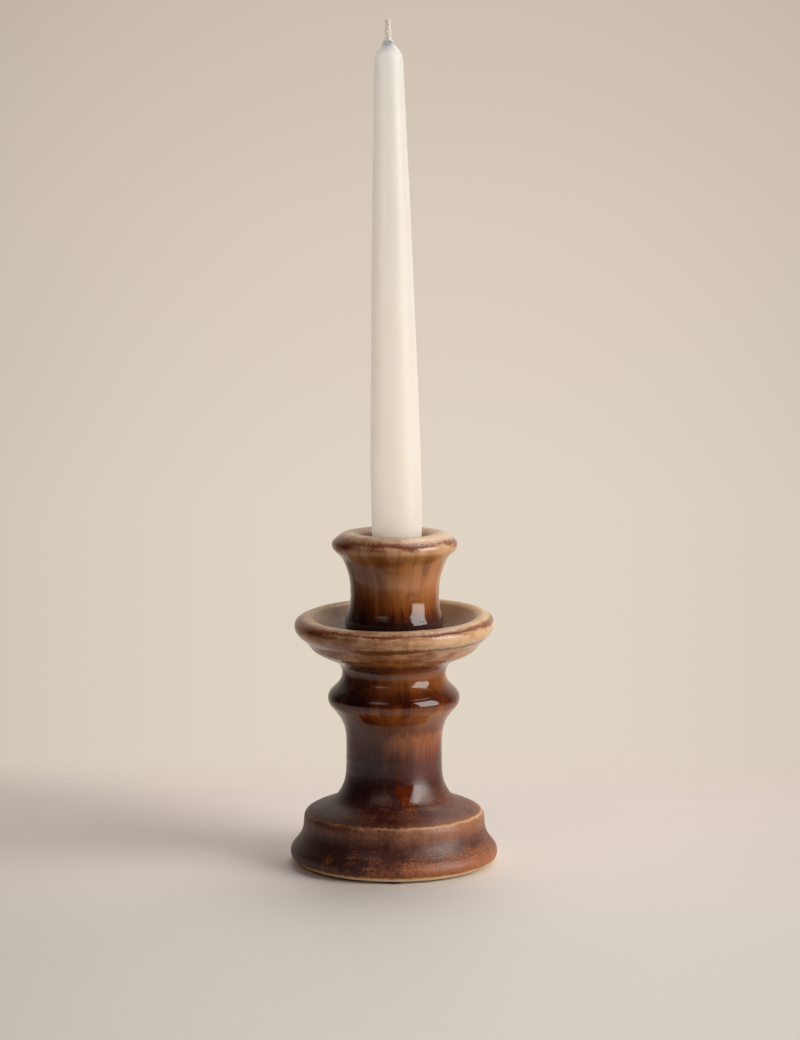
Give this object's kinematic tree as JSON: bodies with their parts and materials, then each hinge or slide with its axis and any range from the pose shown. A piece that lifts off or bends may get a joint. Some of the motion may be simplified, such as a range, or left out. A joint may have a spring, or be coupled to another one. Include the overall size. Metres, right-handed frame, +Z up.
{
  "type": "candlestick",
  "caption": "Glazed stoneware candlestick with a stepped flared base, ringed stem, wide drip pan and rolled cup, holding a removable taper candle.",
  "frame": {"origin": "on the table, under the candlestick's own axis, at the underside of the felt pads", "axes": "+Z up along the candlestick's axis, +X to the right as seen from the front, and +Y to the back; the candle leans towards -X"},
  "size_m": [0.0948, 0.0948, 0.38],
  "materials": {
    "reactive_glaze": "glossy reactive brown glaze, tan on edges and near black where it pools",
    "ivory_wax": "smooth ivory wax with a soft sheen, slightly translucent",
    "cotton_wick": "braided cotton coated in wax",
    "brown_felt": "thin self-adhesive felt"
  },
  "bodies": {
    "holder": {"stoneware_body": "reactive_glaze", "felt_pad_1": "brown_felt", "felt_pad_2": "brown_felt", "felt_pad_3": "brown_felt", "felt_pad_4": "brown_felt"},
    "candle": {"candle_wax": "ivory_wax", "candle_wick": "cotton_wick"}
  },
  "joints": [
    {"name": "candle_lift", "type": "slide", "parent": "holder", "child": "candle", "axis": [-0.0175, 0, 0.9998], "range_m": [0, 0.04]}
  ]
}
